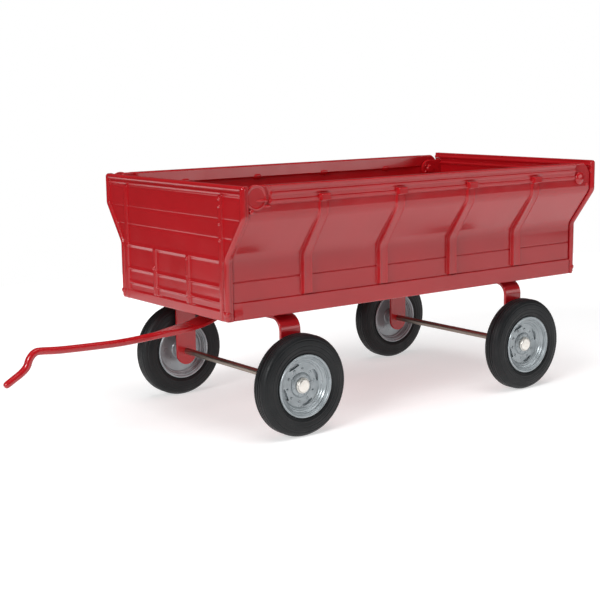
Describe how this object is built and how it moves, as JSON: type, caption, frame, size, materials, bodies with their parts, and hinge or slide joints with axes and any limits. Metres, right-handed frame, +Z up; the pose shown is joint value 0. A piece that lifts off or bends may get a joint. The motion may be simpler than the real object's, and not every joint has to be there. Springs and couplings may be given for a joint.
{
  "type": "toy farm wagon",
  "caption": "Toy flare-box farm wagon: open box with flared sides and a swinging tailgate, a steering front axle with a fixed tongue, and rubber-tyred wheels.",
  "frame": {"origin": "on the ground, under the middle of the wagon's whole box, tongue included", "axes": "+X forward along the tongue, +Y to the wagon's left, +Z up"},
  "size_m": [0.2918, 0.1156, 0.1102],
  "materials": {
    "red_enamel": "thick glossy enamel over die-cast and pressed metal",
    "axle_steel": "plain drawn steel, slightly browned",
    "rim_grey": "satin grey moulded plastic",
    "tyre_rubber": "dull black moulded rubber",
    "cap_bright": "bright plated steel, lightly marked"
  },
  "bodies": {
    "wagon_box": {"floor_pan": "red_enamel", "front_panel": "red_enamel", "left_side": "red_enamel", "right_side": "red_enamel", "floor_rivet_front_left": "red_enamel", "floor_rivet_front_right": "red_enamel", "floor_rivet_rear_left": "red_enamel", "floor_rivet_rear_right": "red_enamel", "tailgate_pin_left": "red_enamel", "tailgate_pin_right": "red_enamel", "kingpin": "axle_steel", "kingpin_spacer": "axle_steel", "rear_axle_bracket": "red_enamel", "rear_bracket_rivet_left": "red_enamel", "rear_bracket_rivet_right": "red_enamel", "rear_axle_rod": "axle_steel", "rear_left_axle_cap": "cap_bright", "rear_right_axle_cap": "cap_bright"},
    "tailgate": {"tailgate": "red_enamel"},
    "front_axle": {"front_axle_bracket": "red_enamel", "front_axle_rod": "axle_steel", "tongue": "red_enamel", "front_left_axle_cap": "cap_bright", "front_right_axle_cap": "cap_bright"},
    "front_left_wheel": {"front_left_rim": "rim_grey", "front_left_tyre": "tyre_rubber"},
    "front_right_wheel": {"front_right_rim": "rim_grey", "front_right_tyre": "tyre_rubber"},
    "rear_left_wheel": {"rear_left_rim": "rim_grey", "rear_left_tyre": "tyre_rubber"},
    "rear_right_wheel": {"rear_right_rim": "rim_grey", "rear_right_tyre": "tyre_rubber"}
  },
  "joints": [
    {"name": "front_steer", "type": "hinge", "parent": "wagon_box", "child": "front_axle", "pos_m": [0.03245, 0, 0.0512], "axis": [0, 0, 1], "range_deg": [-90, 90]},
    {"name": "tailgate_swing", "type": "hinge", "parent": "wagon_box", "child": "tailgate", "pos_m": [-0.13525, 0, 0.1018], "axis": [0, 1, 0], "range_deg": [0, 90]},
    {"name": "front_left_spin", "type": "hinge", "parent": "front_axle", "child": "front_left_wheel", "pos_m": [0.03245, 0.0495, 0.0222], "axis": [0, 1, 0], "continuous": true},
    {"name": "front_right_spin", "type": "hinge", "parent": "front_axle", "child": "front_right_wheel", "pos_m": [0.03245, -0.0495, 0.0222], "axis": [0, 1, 0], "continuous": true},
    {"name": "rear_left_spin", "type": "hinge", "parent": "wagon_box", "child": "rear_left_wheel", "pos_m": [-0.10345, 0.0495, 0.0222], "axis": [0, 1, 0], "continuous": true},
    {"name": "rear_right_spin", "type": "hinge", "parent": "wagon_box", "child": "rear_right_wheel", "pos_m": [-0.10345, -0.0495, 0.0222], "axis": [0, 1, 0], "continuous": true}
  ]
}
